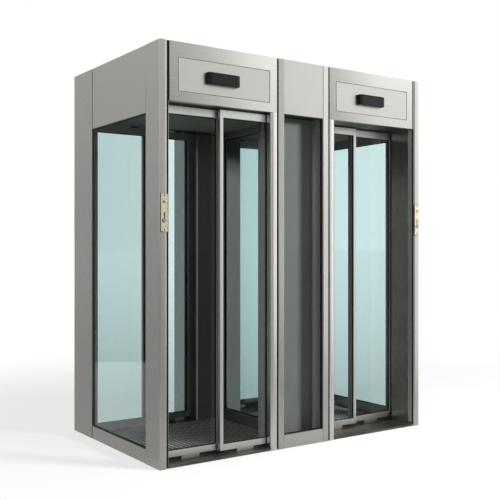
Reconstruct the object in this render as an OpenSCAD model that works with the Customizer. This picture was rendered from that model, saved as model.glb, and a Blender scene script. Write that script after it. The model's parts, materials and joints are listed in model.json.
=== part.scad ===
// Security airlock portal: two glazed walk-through cabins side by side under one head.
// Each cabin has a telescopic two-leaf sliding door at the front and another at the rear.
// The open leaves stand behind the narrow glazed bay in the middle of each face. One door of a face
// runs close behind it (shallow) and the other further in (deep), so both pairs share that bay.
// The rear face is the front face after half a turn about the vertical axis.
// Origin on the floor under the middle of the portal, +X to the right along the front, +Y to the rear.

/* [Portal] */
// Width across the corner posts
portal_w = 2000; // [1900:10:2400]
// Depth from the front face to the rear face
portal_d = 1200; // [1100:10:1600]
// Height above the floor
portal_h = 2350; // [2250:10:2600]
// Open joint between posts, headers and jamb bars
shadow_gap = 10; // [6:1:16]

/* [Posts] */
// Width of a corner post on the face
corner_post_w = 52; // [46:1:80]
// How far a corner post runs on behind the leaves of a shallow door
shallow_post_cover = 51; // [30:1:90]
// How far a corner post runs on behind the leaves of a deep door
deep_post_cover = 60; // [30:1:100]
// Radius of the outer corner of a corner post
post_corner_r = 8; // [3:1:14]
// Radius of the inner front edge of a corner post
post_edge_r = 18; // [6:1:22]
// Depth of the rebate that takes the header's end
rebate_d = 28; // [24:1:36]
// Width of that rebate
rebate_w = 19; // [15:1:28]
// Width of a centre post
centre_post_w = 43; // [36:1:60]
// Depth of a centre post
centre_post_d = 40; // [34:1:44]
// Radius of the front edges of a centre post
centre_edge_r = 4; // [2:1:6]

/* [Headers] */
// Height of the headers over the doors
header_h = 330; // [300:5:420]
// How far headers, sills and kick panels lie behind the post faces
panel_inset = 2; // [1:0.5:5]
// Thickness of a hatch plate
hatch_t = 8; // [5:1:12]
// Margin of a hatch to the header's ends
hatch_side = 56; // [40:1:90]
// Margin of a hatch to the header's lower edge
hatch_bottom = 58; // [45:1:90]
// Margin of a hatch to the header's upper edge
hatch_top = 87; // [50:1:100]
// Groove around a hatch
hatch_groove = 3; // [2:0.5:5]
// Width of a motion sensor
sensor_w = 215; // [170:5:260]
// Height of a motion sensor
sensor_h = 65; // [50:1:90]
// How far a motion sensor stands out of the hatch
sensor_d = 30; // [20:1:60]
// Width of the bevels at the ends of a motion sensor's front
sensor_bevel_w = 20; // [8:1:40]
// Depth of those bevels
sensor_bevel_d = 6; // [3:1:15]
// How far a sensor is to the left of its hatch's middle
sensor_left = 25; // [0:1:60]
// How far a sensor is below its hatch's middle
sensor_drop = 2; // [0:1:20]

/* [Doors] */
// Thickness of a door leaf
leaf_t = 24; // [20:1:30]
// Free gap between the two leaves of a door
leaf_gap = 14; // [12:1:20]
// Depth of a shallow door's first leaf behind its face
shallow_leaf_d = 52; // [50:1:70]
// Depth of a deep door's first leaf behind its face
deep_leaf_d = 168; // [160:1:200]
// Overlap of the two leaves of a closed door
leaf_lap = 23; // [15:1:26]
// Width of a leaf's stiles
stile_w = 22; // [18:1:40]
// Height of a leaf's top rail
top_rail_h = 45; // [35:1:70]
// Height of a leaf's bottom rail
bottom_rail_h = 36; // [30:1:70]
// Thickness of the glass in a leaf
leaf_glass_t = 12; // [8:1:16]
// How far a closed leaf reaches behind the reveal of its corner post
closing_lap = 16; // [8:1:24]
// Gap between that reveal and the leaf that closes behind it
reveal_clear = 20; // [10:1:26]
// How far a parked leaf stands back from the edge of its jamb bar
park_inset = 2; // [0:1:8]
// Gap between a parked leaf and the end of its pocket
park_clear = 11; // [8:1:30]
// Gap between a leaf and the soffit
leaf_top_clear = 8; // [5:1:9]
// Gap between a leaf and the threshold
leaf_bottom_clear = 19; // [17:1:24]

/* [Jambs and pockets] */
// Width of the glazed bay between the centre posts
bay_w = 304; // [280:2:330]
// Width of a jamb bar
jamb_bar_w = 46; // [38:1:60]
// Radius of a jamb bar's front edge beside the doorway
jamb_bar_r = 18; // [8:1:18]
// Radius of a jamb bar's front edge beside the centre post
jamb_edge_r = 6; // [4:1:18]
// Height and depth of the joint over a jamb bar's foot
jamb_joint = 2; // [1:0.5:3]
// Gap between a jamb bar and the leaf that passes behind it
jamb_clear = 10; // [5:1:12]
// How far a closed leaf reaches behind its jamb bar
jamb_lap = 31; // [20:1:38]
// Gap between the shallow leaves and the pocket divider
divider_clear = 22; // [6:1:26]
// Thickness of the pocket divider
divider_t = 4; // [3:1:8]
// Gap between the deep leaves and the pocket cover
cover_clear = 32; // [28:1:44]
// Thickness of the pocket cover's folded sheet
cover_t = 8; // [4:1:12]
// Depth of the lip at the free edge of that sheet
cover_lip = 20; // [10:1:24]
// Gap between the pocket cover and the ceiling
cover_drop = 18; // [8:1:30]
// Height of the kick panel under the centre glass
kick_h = 82; // [60:1:150]

/* [Glazing] */
// Thickness of the fixed glass
fixed_glass_t = 18; // [12:1:22]
// Width of the black gasket around fixed glass
gasket_w = 6; // [4:1:14]
// How far a gasket stands proud of its glass
gasket_proud = 2; // [1:0.5:3]
// Depth of the gasket behind the face
gasket_set = 10; // [4:1:12]
// How far the side walls reach in past the gasket of the side glass
side_cover = 2; // [1:0.5:6]
// Width and depth of the joint between a corner post and the strips beside it
side_joint = 6; // [4:0.5:8]
// Height of the sill under the side glass
sill_h = 80; // [60:1:150]
// Height of the header over the side glass
side_header_h = 382; // [350:1:480]
// Width of the partition's frame
partition_w = 40; // [34:1:60]
// Height of the partition's base rail
partition_base_h = 70; // [50:1:150]
// Height of the partition's top rail
partition_top_h = 45; // [35:1:90]

/* [Floor, tracks and roof] */
// Thickness of the floors and thresholds
threshold_h = 16; // [14:1:25]
// Thickness of the threshold's nose
nose_t = 6; // [4:1:10]
// How far the nose stands out over the dark recess below it
nose_d = 8; // [4:1:14]
// Width of a guide groove in the threshold
groove_w = 14; // [12:1:18]
// Depth of a guide groove
groove_d = 10; // [8:1:12]
// Length of the guide shoe under a leaf
shoe_l = 120; // [80:5:180]
// Height of the guide shoe's foot
shoe_h = 11; // [6:1:12]
// Thickness of the guide shoe's foot
shoe_t = 20; // [12:1:22]
// Thickness of the guide shoe's fin
shoe_fin_t = 8; // [5:1:8]
// Gap between the fin and the bottom of its groove
shoe_clear = 3; // [2:0.5:5]
// Height of the track beam over the doors
track_h = 60; // [54:1:90]
// Thickness of the lips that carry a carriage
track_lip_t = 10; // [8:1:12]
// Width of the track's channel
channel_w = 30; // [28:1:34]
// Height of the track's channel
channel_h = 34; // [30:1:38]
// Width of a carriage
carriage_w = 22; // [20:1:24]
// Height of a carriage
carriage_h = 24; // [18:1:26]
// Length of a carriage
carriage_l = 70; // [50:5:90]
// Thickness of a hanger's neck
neck_t = 8; // [6:1:9]
// Length of a hanger's neck
neck_l = 50; // [30:5:60]
// Running gap between a carriage and its lips
running_gap = 0.3; // [0.2:0.1:0.5]
// Thickness of the ceiling sheet
ceiling_t = 8; // [4:1:12]
// Thickness of the roof sheet
roof_t = 12; // [6:1:20]
// How far the roof lies below the top of the posts
roof_drop = 10; // [0:1:30]

/* [Lock plates] */
// Width of a lock plate
plate_w = 42; // [38:1:44]
// Height of a lock plate
plate_h = 210; // [160:5:260]
// Thickness of a lock plate
plate_t = 5; // [3:0.5:8]
// Height of a lock plate's middle above the floor
plate_z = 1403; // [1000:1:1600]
// Corner radius of a lock plate
plate_r = 6; // [2:1:10]
// How far the black seal shows around a lock plate
seal_margin = 2; // [1:0.5:3]
// Thickness of that seal
seal_t = 1.5; // [1:0.5:3]
// Radius of the push button
button_r = 7.5; // [5:0.5:12]
// Height of the button above the plate's middle
button_up = 60; // [40:1:75]
// How far the button stands out of the plate
button_proud = 4; // [2:0.5:8]
// Radius of the key cylinder
key_r = 10.5; // [8:0.5:14]
// Height of the key cylinder below the plate's middle
key_down = 43; // [30:1:65]
// How far the key cylinder stands out of the plate
key_proud = 6; // [3:0.5:10]
// Height of the keyhole
keyhole_h = 11; // [8:0.5:13]
// Width of the keyhole
keyhole_w = 2.4; // [1.5:0.1:4]
// Length of the pointer slot above the key cylinder
pointer_l = 34; // [20:1:45]
// Width of the pointer slot
pointer_w = 7; // [4:0.5:10]

/* [Hidden] */
arc_steps = 6;
cut = 1;
$fn = 48;

// Places across the face, from the middle outwards
half_w = portal_w / 2;
bay_x = bay_w / 2;
post_x = bay_x + centre_post_w;
jamb_x = post_x + shadow_gap;
jamb_edge_x = jamb_x + jamb_bar_w;
inner_x = jamb_edge_x - jamb_lap;
face_x = half_w - corner_post_w;
header_x = face_x - shadow_gap;
reveal_x = face_x - rebate_w;
closing_x = reveal_x + closing_lap;
side_x = half_w - panel_inset;
side_wall_t = gasket_set + 2 * gasket_proud + fixed_glass_t + side_cover;
wall_x = half_w - side_wall_t;

// The outer leaf goes twice as far as the inner one, until both stand behind the jamb bar
outer_travel = closing_x - jamb_edge_x + park_inset;
meeting_x = outer_travel - bay_x + park_clear;
inner_leaf_w = meeting_x + leaf_lap - inner_x;
outer_leaf_w = closing_x - meeting_x;

// Places in depth, from a face inwards
leaf_pitch = leaf_t + leaf_gap;
divider_d = shallow_leaf_d + leaf_pitch + leaf_t + divider_clear;
divider_back = divider_d + divider_t;
cover_d = deep_leaf_d + leaf_pitch + leaf_t + cover_clear;
cover_back = cover_d + cover_t;
shallow_post_d = shallow_leaf_d + leaf_pitch + leaf_t + shallow_post_cover;
deep_post_d = deep_leaf_d + leaf_pitch + leaf_t + deep_post_cover;
cabin_d = portal_d - 2 * cover_back;

// Heights
soffit_z = portal_h - header_h;
leaf_z0 = threshold_h + leaf_bottom_clear;
leaf_z1 = soffit_z - leaf_top_clear;
side_head_z = portal_h - side_header_h;
hatch_z0 = soffit_z + hatch_bottom;
hatch_z1 = portal_h - hatch_top;
sensor_z = (hatch_z0 + hatch_z1) / 2 - sensor_drop;
channel_z = soffit_z + track_lip_t;
roof_z = portal_h - roof_drop - roof_t;
partition_z0 = threshold_h + partition_base_h;
partition_z1 = soffit_z - partition_top_h;

// Depth of a pane behind the panels around it
pane_set = gasket_set + gasket_proud - panel_inset;
// Half of the joint between the two floors, under the partition
floor_x = partition_w / 4;
// Ends of the grooves and channels that a leaf's shoe and carriages run in
path_x0 = -closing_x;
path_x1 = bay_x - park_clear / 2;

// Width of a leaf, its depth, the place of its left edge for a door on the left of its face,
// the depth of the middle of its path and the depth at which the reveal beside it ends
function leaf_w(outer) = outer ? outer_leaf_w : inner_leaf_w;
function leaf_d(deep, outer) = (deep ? deep_leaf_d : shallow_leaf_d) + (outer ? leaf_pitch : 0);
function leaf_x(outer) = outer ? -closing_x : -inner_x - inner_leaf_w;
function path_d(deep, outer) = leaf_d(deep, outer) + leaf_t / 2;
function reveal_d(deep) = leaf_d(deep, true) - reveal_clear;

// Points of an arc about a centre
function arc_points(cx, cy, r, a0, a1) =
    [for (i = [0:arc_steps]) let (a = a0 + (a1 - a0) * i / arc_steps) [cx + r * cos(a), cy + r * sin(a)]];

// A rectangle from the origin whose two front corners are round
function round_front(w, d, r_left, r_right) = concat(
    [[0, d]],
    arc_points(r_left, r_left, r_left, 180, 270),
    arc_points(w - r_right, r_right, r_right, 270, 360),
    [[w, d]]);

// Plan of a corner post, outer corner at the origin: a rebate behind its inner front edge, then the
// reveal, and behind that a thin leg that leaves room for the closing edge of the outer leaf
function corner_post_plan(deep) = let (
    depth = deep ? deep_post_d : shallow_post_d,
    reveal_w = corner_post_w + rebate_w) concat(
    [[0, depth]],
    arc_points(post_corner_r, post_corner_r, post_corner_r, 180, 270),
    arc_points(corner_post_w - post_edge_r, post_edge_r, post_edge_r, 270, 360),
    [[corner_post_w, rebate_d], [reveal_w, rebate_d], [reveal_w, reveal_d(deep)],
     [side_wall_t, reveal_d(deep)], [side_wall_t, depth]]);

// Puts what is drawn on a face, with y as the depth behind it, on the front or on the rear of the portal
module on_face(rear) rotate([0, 0, rear ? 180 : 0]) translate([0, -portal_d / 2, 0]) children();

module on_both_faces() for (rear = [false, true]) on_face(rear) children();

// Turns the left half of a face into its right half
module on_half(right) mirror([right ? 1 : 0, 0, 0]) children();

module on_both_halves() for (right = [false, true]) on_half(right) children();

// A block between two places across, in depth and in height
module block(x0, x1, d0, d1, z0, z1) translate([x0, d0, z0]) cube([x1 - x0, d1 - d0, z1 - z0]);

// A plan raised between two heights
module upright(plan, z0, z1) translate([0, 0, z0]) linear_extrude(z1 - z0) polygon(plan);

module corner_post(deep) translate([-half_w, 0, 0]) upright(corner_post_plan(deep), 0, portal_h);

module corner_post_front_left() color("#b9bab6") on_face(false) corner_post(false);

module corner_post_front_right() color("#b9bab6") on_face(false) on_half(true) corner_post(true);

module corner_post_rear_left() color("#b9bab6") on_face(true) on_half(true) corner_post(true);

module corner_post_rear_right() color("#b9bab6") on_face(true) corner_post(false);

// The post beside the deep door runs back to the divider and closes the end of the shallow pocket
module centre_posts() color("#b9bab6") on_both_faces() {
    on_both_halves() translate([-post_x, 0, 0])
        upright(round_front(centre_post_w, centre_post_d, centre_edge_r, centre_edge_r), 0, portal_h);
    block(bay_x, post_x, centre_post_d, divider_back, threshold_h, soffit_z);
}

// A length of jamb bar of some depth, all round smaller by an inset
module jamb_length(depth, inset, z0, z1) translate([-jamb_edge_x + inset, inset, 0]) upright(
    round_front(jamb_bar_w - 2 * inset, depth - inset, jamb_bar_r - inset, jamb_edge_r - inset), z0, z1);

// A foot as high as the threshold, a joint, and the bar up to the header
module jamb_bar(deep) {
    jamb_length(centre_post_d, 0, 0, threshold_h - jamb_joint);
    jamb_length(centre_post_d, jamb_joint, threshold_h - jamb_joint, threshold_h);
    jamb_length(leaf_d(deep, false) - jamb_clear, 0, threshold_h, soffit_z);
}

module jamb_bars() color("#e8e8e4") on_both_faces() {
    jamb_bar(false);
    on_half(true) jamb_bar(true);
}

module door_header() difference() {
    block(-header_x, -jamb_x, panel_inset, rebate_d, soffit_z, portal_h);
    translate([0, panel_inset, 0]) block(
        -header_x + hatch_side - hatch_groove, -jamb_x - hatch_side + hatch_groove, -cut, hatch_t,
        hatch_z0 - hatch_groove, hatch_z1 + hatch_groove);
}

module front_door_headers() color("#c4c5c2") on_face(false) on_both_halves() door_header();

module rear_door_headers() color("#c4c5c2") on_face(true) on_both_halves() door_header();

module centre_headers() color("#c4c5c2") on_both_faces()
    block(-bay_x, bay_x, panel_inset, rebate_d, soffit_z, portal_h);

module header_hatches() color("#c8c9c6") on_both_faces() on_both_halves()
    block(-header_x + hatch_side, -jamb_x - hatch_side,
        panel_inset, panel_inset + hatch_t, hatch_z0, hatch_z1);

// A sensor's housing, its middle at x = 0, with bevels at both ends of its front
module sensor_housing() translate([0, panel_inset, 0]) upright([
    [-sensor_w / 2, 0], [-sensor_w / 2, sensor_bevel_d - sensor_d],
    [sensor_bevel_w - sensor_w / 2, -sensor_d], [sensor_w / 2 - sensor_bevel_w, -sensor_d],
    [sensor_w / 2, sensor_bevel_d - sensor_d], [sensor_w / 2, 0]],
    sensor_z - sensor_h / 2, sensor_z + sensor_h / 2);

module motion_sensors() color("#1c1d1e") on_both_faces()
    for (side = [-1, 1]) translate([side * (header_x + jamb_x) / 2 - sensor_left, 0, 0]) sensor_housing();

// The strips above and below the side glass, between the corner posts of a side, with a joint at each end
module side_strip(z0, z1) on_both_faces() {
    block(-side_x + side_joint, -wall_x, shallow_post_d, portal_d - deep_post_d, z0, z1);
    block(-side_x, -side_x + side_joint,
        shallow_post_d + side_joint, portal_d - deep_post_d - side_joint, z0, z1);
}

module side_headers() color("#c4c5c2") side_strip(side_head_z, portal_h);

module side_sills() color("#c4c5c2") side_strip(0, sill_h);

// A pane that leaves room for its gasket, lying from d0 on behind the plane y = 0, and that gasket
module pane(x0, x1, z0, z1, d0, t)
    block(x0 + gasket_w, x1 - gasket_w, d0, d0 + t, z0 + gasket_w, z1 - gasket_w);

module gasket_ring(x0, x1, z0, z1, d0, t) difference() {
    block(x0, x1, d0 - gasket_proud, d0 + t + gasket_proud, z0, z1);
    pane(x0, x1, z0, z1, d0 - gasket_proud - cut, t + 2 * (gasket_proud + cut));
}

// Draws in the plane of a side wall: x runs along the side from the front, y from the outside inwards
module on_side() on_both_faces() translate([-side_x, 0, 0]) mirror([1, 0, 0]) rotate([0, 0, 90]) children();

module side_glass() color("#c9e6e2", 0.4) on_side()
    pane(shallow_post_d, portal_d - deep_post_d, sill_h, side_head_z, pane_set, fixed_glass_t);

module centre_bay_glass() color("#c9e6e2", 0.4) on_both_faces() translate([0, panel_inset, 0])
    pane(-bay_x, bay_x, kick_h, soffit_z, pane_set, fixed_glass_t);

// Draws in the plane of the partition: x runs from the front to the rear, y across it
module on_partition() rotate([0, 0, 90]) translate([-cabin_d / 2, -fixed_glass_t / 2, 0]) children();

module partition_glass() color("#c9e6e2", 0.4) on_partition()
    pane(partition_w, cabin_d - partition_w, partition_z0, partition_z1, 0, fixed_glass_t);

// The stiles of the partition are as deep as its frame is wide
module partition_frame() color("#c4c5c2") difference() {
    translate([-partition_w / 2, -cabin_d / 2, threshold_h])
        cube([partition_w, cabin_d, soffit_z - threshold_h]);
    translate([-partition_w / 2 - cut, partition_w - cabin_d / 2, partition_z0])
        cube([partition_w + 2 * cut, cabin_d - 2 * partition_w, partition_z1 - partition_z0]);
}

// Rings around all fixed glass, the dark strips at the bottom of the open joints, and the lock plates' seals
module glazing_gaskets() color("#161718") {
    on_side() gasket_ring(
        shallow_post_d, portal_d - deep_post_d, sill_h, side_head_z, pane_set, fixed_glass_t);
    on_both_faces() translate([0, panel_inset, 0])
        gasket_ring(-bay_x, bay_x, kick_h, soffit_z, pane_set, fixed_glass_t);
    on_partition() gasket_ring(
        partition_w, cabin_d - partition_w, partition_z0, partition_z1, 0, fixed_glass_t);
    on_both_faces() on_both_halves() {
        block(-jamb_x, -post_x, gasket_set, rebate_d, 0, portal_h);
        block(-face_x, -header_x, gasket_set, rebate_d, soffit_z, portal_h);
    }
    on_lock_plates() rotate([90, 0, 0]) linear_extrude(seal_t) plate_outline(seal_margin);
}

// Runs what is drawn along y = 0 on the left half of a face in the paths of all four leaves
module on_leaf_paths() for (deep = [false, true], outer = [false, true])
    on_half(deep) translate([0, path_d(deep, outer), 0]) children();

// What fills a face's doorways and pockets between two heights: from reveal to reveal, and behind the
// reveals, where the outer leaves close, from wall to wall
module doorway_bed(z0, z1) {
    block(-reveal_x, reveal_x, rebate_d, cover_back, z0, z1);
    block(-wall_x, -reveal_x, reveal_d(false), cover_back, z0, z1);
    block(reveal_x, wall_x, reveal_d(true), cover_back, z0, z1);
}

module threshold() difference() {
    union() {
        block(-face_x, face_x, 0, rebate_d, 0, threshold_h);
        doorway_bed(0, threshold_h);
    }
    block(-face_x - cut, face_x + cut, -cut, nose_d, -cut, threshold_h - nose_t);
    block(-jamb_edge_x, jamb_edge_x, -cut, centre_post_d, -cut, threshold_h + cut);
    on_leaf_paths() block(path_x0, path_x1,
        -groove_w / 2, groove_w / 2, threshold_h - groove_d, threshold_h + cut);
}

module thresholds() color("#55585a") on_both_faces() threshold();

module kick_panels() color("#c4c5c2") on_both_faces()
    block(-bay_x, bay_x, panel_inset, centre_post_d, 0, kick_h);

module pocket_dividers() color("#7d827f") on_both_faces()
    block(-bay_x, bay_x, divider_d, divider_back, threshold_h, soffit_z);

// A folded sheet: an end wall beside the shallow door's cabin, the long back of both pockets and a lip
// at the free edge beside the deep door
module pocket_covers() color("#c4c5c2") on_both_faces() upright([
    [-bay_x - cover_t, divider_d], [-bay_x, divider_d], [-bay_x, cover_d], [jamb_x - cover_t, cover_d],
    [jamb_x - cover_t, cover_d - cover_lip], [jamb_x, cover_d - cover_lip],
    [jamb_x, cover_back], [-bay_x - cover_t, cover_back]], threshold_h, soffit_z - cover_drop);

// The two floors meet under the partition, with a joint between them
module cabin_floors() color("#3c3e3f") for (side = [-1, 1])
    translate([side * (floor_x + wall_x) / 2, 0, threshold_h / 2])
        cube([wall_x - floor_x, cabin_d, threshold_h], center = true);

module track_beam() difference() {
    doorway_bed(soffit_z, soffit_z + track_h);
    on_both_halves() block(-post_x, -bay_x, -cut, centre_post_d, soffit_z - cut, soffit_z + track_h + cut);
    on_leaf_paths() {
        block(path_x0, path_x1, -groove_w / 2, groove_w / 2, soffit_z - cut, channel_z + cut);
        block(path_x0, path_x1, -channel_w / 2, channel_w / 2, channel_z, channel_z + channel_h);
    }
}

module track_beams() color("#8f9290") on_both_faces() track_beam();

module ceiling() color("#dcdcd8") translate([-wall_x, -cabin_d / 2, soffit_z])
    cube([2 * wall_x, cabin_d, ceiling_t]);

module roof() color("#a9aba8") difference() {
    union() {
        translate([-reveal_x, rebate_d - portal_d / 2, roof_z])
            cube([2 * reveal_x, portal_d - 2 * rebate_d, roof_t]);
        on_both_faces() block(
            -wall_x, -reveal_x, reveal_d(false), portal_d - reveal_d(true), roof_z, roof_z + roof_t);
    }
    on_both_faces() on_both_halves()
        block(-post_x, -bay_x, -cut, centre_post_d, roof_z - cut, roof_z + roof_t + cut);
}

// A disc or peg that stands out of a face from the plane y = 0
module peg(r, proud) rotate([90, 0, 0]) cylinder(r = r, h = proud);

// Outline of a lock plate, larger by a margin all round
module plate_outline(margin) {
    square([plate_w + 2 * margin, plate_h - 2 * plate_r], center = true);
    square([plate_w - 2 * plate_r, plate_h + 2 * margin], center = true);
    for (x = [-1, 1], z = [-1, 1])
        translate([x * (plate_w / 2 - plate_r), z * (plate_h / 2 - plate_r)]) circle(plate_r + margin);
}

// A lock plate on its seal, its middle at the origin, with a slot as a pointer over the key cylinder
module lock_plate() translate([0, -seal_t, 0]) rotate([90, 0, 0]) linear_extrude(plate_t) difference() {
    plate_outline(0);
    translate([-pointer_w / 2, key_r - key_down]) square([pointer_w, pointer_l]);
}

module on_lock_plates() on_both_faces() on_both_halves()
    translate([corner_post_w / 2 - half_w, 0, plate_z]) children();

module lock_plates() color("#ccc4b2") on_lock_plates() lock_plate();

module key_switches() color("#9b9c99") on_lock_plates() translate([0, -seal_t - plate_t, 0]) {
    translate([0, 0, button_up]) peg(button_r, button_proud);
    translate([0, 0, -key_down]) difference() {
        peg(key_r, key_proud);
        translate([-keyhole_w / 2, -key_proud - cut, -keyhole_h / 2]) cube([keyhole_w, key_proud, keyhole_h]);
    }
}

// A hanger's neck and carriage, its middle at x = 0
module hanger() {
    block(-neck_l / 2, neck_l / 2, -neck_t / 2, neck_t / 2, leaf_z1, channel_z + running_gap);
    block(-carriage_l / 2, carriage_l / 2, -carriage_w / 2, carriage_w / 2,
        channel_z + running_gap, channel_z + running_gap + carriage_h);
}

// The guide shoe under a leaf: a foot on the bottom rail and a fin that runs in the groove
module guide_shoe() {
    block(-shoe_l / 2, shoe_l / 2, -shoe_t / 2, shoe_t / 2, leaf_z0 - shoe_h, leaf_z0);
    block(-shoe_l / 2, shoe_l / 2,
        -shoe_fin_t / 2, shoe_fin_t / 2, threshold_h - groove_d + shoe_clear, leaf_z0);
}

module on_leaf(rear, deep, outer) on_face(rear) on_half(deep)
    translate([leaf_x(outer), path_d(deep, outer), 0]) children();

module leaf_frame(rear, deep, outer) color("#c8c9c6") on_leaf(rear, deep, outer) union() {
    difference() {
        block(0, leaf_w(outer), -leaf_t / 2, leaf_t / 2, leaf_z0, leaf_z1);
        block(stile_w, leaf_w(outer) - stile_w, -leaf_t / 2 - cut, leaf_t / 2 + cut,
            leaf_z0 + bottom_rail_h, leaf_z1 - top_rail_h);
    }
    for (side = [1, 3]) translate([side * leaf_w(outer) / 4, 0, 0]) hanger();
    translate([leaf_w(outer) / 2, 0, 0]) guide_shoe();
}

module leaf_glass(rear, deep, outer) color("#c9e6e2", 0.4) on_leaf(rear, deep, outer)
    block(stile_w, leaf_w(outer) - stile_w, -leaf_glass_t / 2, leaf_glass_t / 2,
        leaf_z0 + bottom_rail_h, leaf_z1 - top_rail_h);

module front_left_inner_leaf() leaf_frame(false, false, false);
module front_left_inner_glass() leaf_glass(false, false, false);
module front_left_outer_leaf() leaf_frame(false, false, true);
module front_left_outer_glass() leaf_glass(false, false, true);
module front_right_inner_leaf() leaf_frame(false, true, false);
module front_right_inner_glass() leaf_glass(false, true, false);
module front_right_outer_leaf() leaf_frame(false, true, true);
module front_right_outer_glass() leaf_glass(false, true, true);
module rear_left_inner_leaf() leaf_frame(true, true, false);
module rear_left_inner_glass() leaf_glass(true, true, false);
module rear_left_outer_leaf() leaf_frame(true, true, true);
module rear_left_outer_glass() leaf_glass(true, true, true);
module rear_right_inner_leaf() leaf_frame(true, false, false);
module rear_right_inner_glass() leaf_glass(true, false, false);
module rear_right_outer_leaf() leaf_frame(true, false, true);
module rear_right_outer_glass() leaf_glass(true, false, true);

corner_post_front_left();
corner_post_front_right();
corner_post_rear_left();
corner_post_rear_right();
centre_posts();
jamb_bars();
front_door_headers();
rear_door_headers();
centre_headers();
header_hatches();
motion_sensors();
side_headers();
side_sills();
side_glass();
glazing_gaskets();
thresholds();
kick_panels();
centre_bay_glass();
pocket_dividers();
pocket_covers();
partition_frame();
partition_glass();
cabin_floors();
track_beams();
ceiling();
roof();
lock_plates();
key_switches();
front_left_inner_leaf();
front_left_inner_glass();
front_left_outer_leaf();
front_left_outer_glass();
front_right_inner_leaf();
front_right_inner_glass();
front_right_outer_leaf();
front_right_outer_glass();
rear_left_inner_leaf();
rear_left_inner_glass();
rear_left_outer_leaf();
rear_left_outer_glass();
rear_right_inner_leaf();
rear_right_inner_glass();
rear_right_outer_leaf();
rear_right_outer_glass();
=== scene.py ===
"""Looks of the double security airlock portal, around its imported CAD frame. Metres, +Z up."""
import json
import math

import bmesh
import bpy
from mathutils import Matrix, Vector


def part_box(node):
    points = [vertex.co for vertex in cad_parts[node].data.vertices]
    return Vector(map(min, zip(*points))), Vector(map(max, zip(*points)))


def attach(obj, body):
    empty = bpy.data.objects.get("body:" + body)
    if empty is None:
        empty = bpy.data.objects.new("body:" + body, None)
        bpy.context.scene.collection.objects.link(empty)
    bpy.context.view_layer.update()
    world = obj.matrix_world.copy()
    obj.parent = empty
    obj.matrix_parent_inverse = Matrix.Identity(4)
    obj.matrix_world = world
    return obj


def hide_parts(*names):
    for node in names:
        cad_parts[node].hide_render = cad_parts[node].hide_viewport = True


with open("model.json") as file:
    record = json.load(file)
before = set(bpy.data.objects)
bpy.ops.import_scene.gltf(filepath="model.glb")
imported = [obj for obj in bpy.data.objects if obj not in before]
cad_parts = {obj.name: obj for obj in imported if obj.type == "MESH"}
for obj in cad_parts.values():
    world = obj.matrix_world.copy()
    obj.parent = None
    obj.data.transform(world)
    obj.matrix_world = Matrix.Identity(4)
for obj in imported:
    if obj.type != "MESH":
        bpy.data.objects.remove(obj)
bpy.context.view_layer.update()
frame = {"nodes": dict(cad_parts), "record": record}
MM = 0.001

# The camera of the photograph: level, at chest height, turned to the portal's left front corner
CAMERA_PLACE = Vector((-3.075, -4.473, 1.203))
CAMERA_AIM = Vector((0.5677, 0.8232, 0.0))
FOCAL_PX = 804.0
IMAGE_PX = 500.0
HORIZON_PX = 249.3
SENSOR_MM = 36.0

DOORS = ("front_left", "front_right", "rear_left", "rear_right")
LEAVES = ("inner", "outer")

# Places of the CAD model that the scene's own pieces sit on, in metres
HALF_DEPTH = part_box("corner_post_rear_left")[1][1]
POST_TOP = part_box("corner_post_rear_left")[1][2]
FLOOR_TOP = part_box("cabin_floors")[1][2]
CABIN_WALL_X, CABIN_HALF_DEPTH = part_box("cabin_floors")[1][:2]
PARTITION_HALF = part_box("partition_frame")[1][0]
SOFFIT_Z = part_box("front_door_headers")[0][2]
SENSOR_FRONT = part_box("motion_sensors")[1][1]
HEADER_MIDDLE_X = 0.5715
HEADER_MIDDLE_Z = (SOFFIT_Z + POST_TOP) / 2
JAMB_MIDDLE_X = 0.2255
REBATE_X = 0.948
POST_FACE_DEEP = 42 * MM
BLOCK_X = 0.190
BLOCK_BAY_X = 0.152
BLOCK_END_Y = 0.460
BLOCK_EDGE_R = 9 * MM
PLATE_X = 0.974
PLATE_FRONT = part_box("lock_plates")[1][1]
PLATE_LOW, PLATE_HIGH = (corner[2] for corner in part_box("lock_plates"))
SCREW_INSET = 11 * MM
BUTTON_UP = 60 * MM
BUTTON_PROUD = 4 * MM
LEAF_HEAD_Z = SOFFIT_Z - 8 * MM

# How the edges of the sheet metal are found and eased
WELD = 0.01 * MM
FLAT_ANGLE = math.radians(1)
SHARP_ANGLE = math.radians(40)
ROUND_WIDTH = 4 * MM
POST_EASE_MM, LEAF_EASE_MM, SENSOR_EASE_MM = 1.2, 1.4, 2.5
EASE_MM = {
    "corner_post_front_left": 1.2, "corner_post_front_right": 1.2, "corner_post_rear_left": 1.2,
    "corner_post_rear_right": 1.2, "jamb_bars": 0.9, "front_door_headers": 1.4,
    "rear_door_headers": 1.4, "centre_headers": 1.4, "header_hatches": 1.4, "side_headers": 1.4,
    "side_sills": 1.4, "kick_panels": 1.4, "pocket_covers": 1.2, "partition_frame": 1.6,
    "lock_plates": 1.2, "key_switches": 0.9}

# How close a corner lies to the place that tells it, and how far a face stands clear of one
NEAR = 0.1 * MM
CLEAR = 1 * MM

# The sunk window of a sensor: its rim, the step down to it and its depth
WINDOW_RIM, WINDOW_STEP, WINDOW_SUNK = 5 * MM, 0.8 * MM, 1.2 * MM

# Outlines of the small pieces, in millimetres
BEAD_WEDGE = ((0, 0), (0, 4.5), (1.5, 4.5), (5, 0.8), (5, 0))
SEAL_LIP = ((0, 1.0), (2.2, 1.6), (3.2, 4.0), (2.4, 7.0), (3.2, 10.0), (2.2, 12.0), (0, 12.6))
SCREW_HEAD = ((0, 0.1), (1.6, 0.1), (1.9, 0.7), (3.6, 0.5), (4.2, 0.1), (4.2, -0.4), (0, -0.4))
BUTTON_DOME = ((0, -1), (6.6, -1), (6.6, 0), (6.1, 1.4), (4.9, 2.6), (3.0, 3.4), (0, 3.8))
TURN_STEPS = 20

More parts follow.
